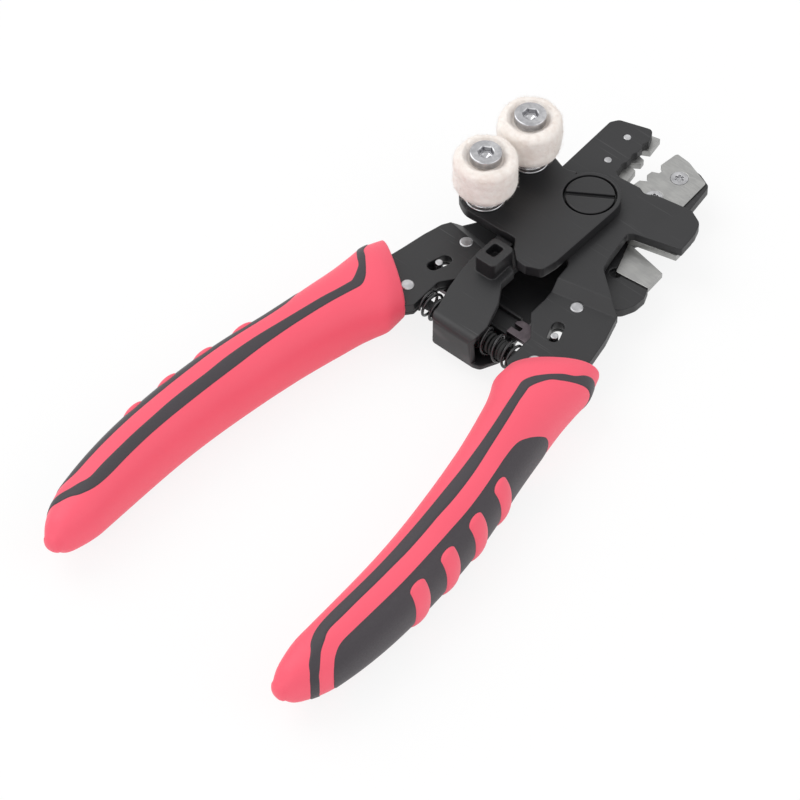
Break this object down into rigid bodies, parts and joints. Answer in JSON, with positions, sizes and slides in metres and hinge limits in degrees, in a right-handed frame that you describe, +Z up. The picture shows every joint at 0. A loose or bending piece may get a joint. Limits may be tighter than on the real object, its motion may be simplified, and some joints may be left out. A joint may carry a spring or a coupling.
{
  "type": "fibre stripper",
  "caption": "Plier-type fibre and drop-cable hand tool with notched stripping jaws, side shear blades, sprung centre housing, lateral slides and two felt wiping wheels on a wing plate.",
  "frame": {"origin": "on the pivot axis, in the plane that the tool rests on (underside of the pivot nut and screw end)", "axes": "+Y along the cover plate from the pivot to the jaws, +X to the right-hand lever side, +Z up through the slotted screw head"},
  "size_m": [0.0917, 0.1916, 0.033],
  "materials": {
    "black_coating": "satin black oxide",
    "bright_steel": "ground steel",
    "chrome_steel": "polished nickel plate",
    "blade_steel": "ground tool steel",
    "slide_steel": "grey phosphated steel",
    "spring_steel": "black oiled spring wire",
    "bronze": "sintered bronze",
    "red_rubber": "matte soft-touch red",
    "black_rubber": "matte soft-touch black",
    "felt": "pressed wool felt"
  },
  "bodies": {
    "centre_body": {"cover_plate": "black_coating", "spring_housing": "black_coating", "housing_screws": "bright_steel", "pivot_screw": "black_coating", "pivot_nut": "bright_steel", "pivot_washer": "bright_steel", "pivot_spacer": "bronze", "front_wheel_collar": "chrome_steel", "rear_wheel_collar": "chrome_steel", "front_wheel_screw": "chrome_steel", "rear_wheel_screw": "chrome_steel", "right_spring": "spring_steel", "left_spring": "spring_steel"},
    "right_handle": {"right_lever": "black_coating", "right_backing_plate": "black_coating", "right_rivets": "bright_steel", "stripping_blade": "blade_steel", "stripping_blade_rivets": "bright_steel", "upper_shear_blade": "blade_steel", "upper_shear_screws": "bright_steel", "right_grip": "red_rubber", "right_grip_inlay": "black_rubber", "right_grip_ribs": "red_rubber"},
    "left_handle": {"left_lever": "black_coating", "left_backing_plate": "black_coating", "left_rivets": "bright_steel", "notched_plate": "blade_steel", "notched_plate_screws": "bright_steel", "lower_shear_blade": "blade_steel", "lower_shear_screw": "bright_steel", "left_grip": "red_rubber", "left_grip_inlay": "black_rubber", "left_grip_ribs": "red_rubber"},
    "front_wheel": {"front_felt_wheel": "felt"},
    "rear_wheel": {"rear_felt_wheel": "felt"},
    "right_slide_body": {"right_slide": "slide_steel", "right_slide_pin": "bright_steel"},
    "left_slide_body": {"left_slide": "slide_steel", "left_slide_pin": "bright_steel"}
  },
  "joints": [
    {"name": "right_handle_close", "type": "hinge", "parent": "centre_body", "child": "right_handle", "pos_m": [0, 0, 0.0118], "axis": [0, 0, 1], "range_deg": [-9.8, 0], "stiffness_Nm_per_rad": 2, "springref_deg": 6.88, "deforming": ["right_spring", "left_spring"]},
    {"name": "left_handle_close", "type": "hinge", "parent": "centre_body", "child": "left_handle", "pos_m": [0, 0, 0.0118], "axis": [0, 0, 1], "range_deg": [0, 5.8]},
    {"name": "right_slide_travel", "type": "slide", "parent": "centre_body", "child": "right_slide_body", "axis": [1, 0, 0], "range_m": [-0.00719, 0]},
    {"name": "left_slide_travel", "type": "slide", "parent": "centre_body", "child": "left_slide_body", "axis": [1, 0, 0], "range_m": [0, 0.00426]},
    {"name": "front_wheel_spin", "type": "hinge", "parent": "centre_body", "child": "front_wheel", "pos_m": [-0.019, -0.0004, 0.024], "axis": [0, 0, 1], "continuous": true},
    {"name": "rear_wheel_spin", "type": "hinge", "parent": "centre_body", "child": "rear_wheel", "pos_m": [-0.019, -0.0172, 0.024], "axis": [0, 0, 1], "continuous": true}
  ],
  "couplings": [
    {"joint": "left_handle_close", "follows": "right_handle_close", "ratio": -0.59184},
    {"joint": "right_slide_travel", "follows": "right_handle_close", "m_per_rad": 0.042},
    {"joint": "left_slide_travel", "follows": "right_handle_close", "m_per_rad": -0.024857}
  ]
}
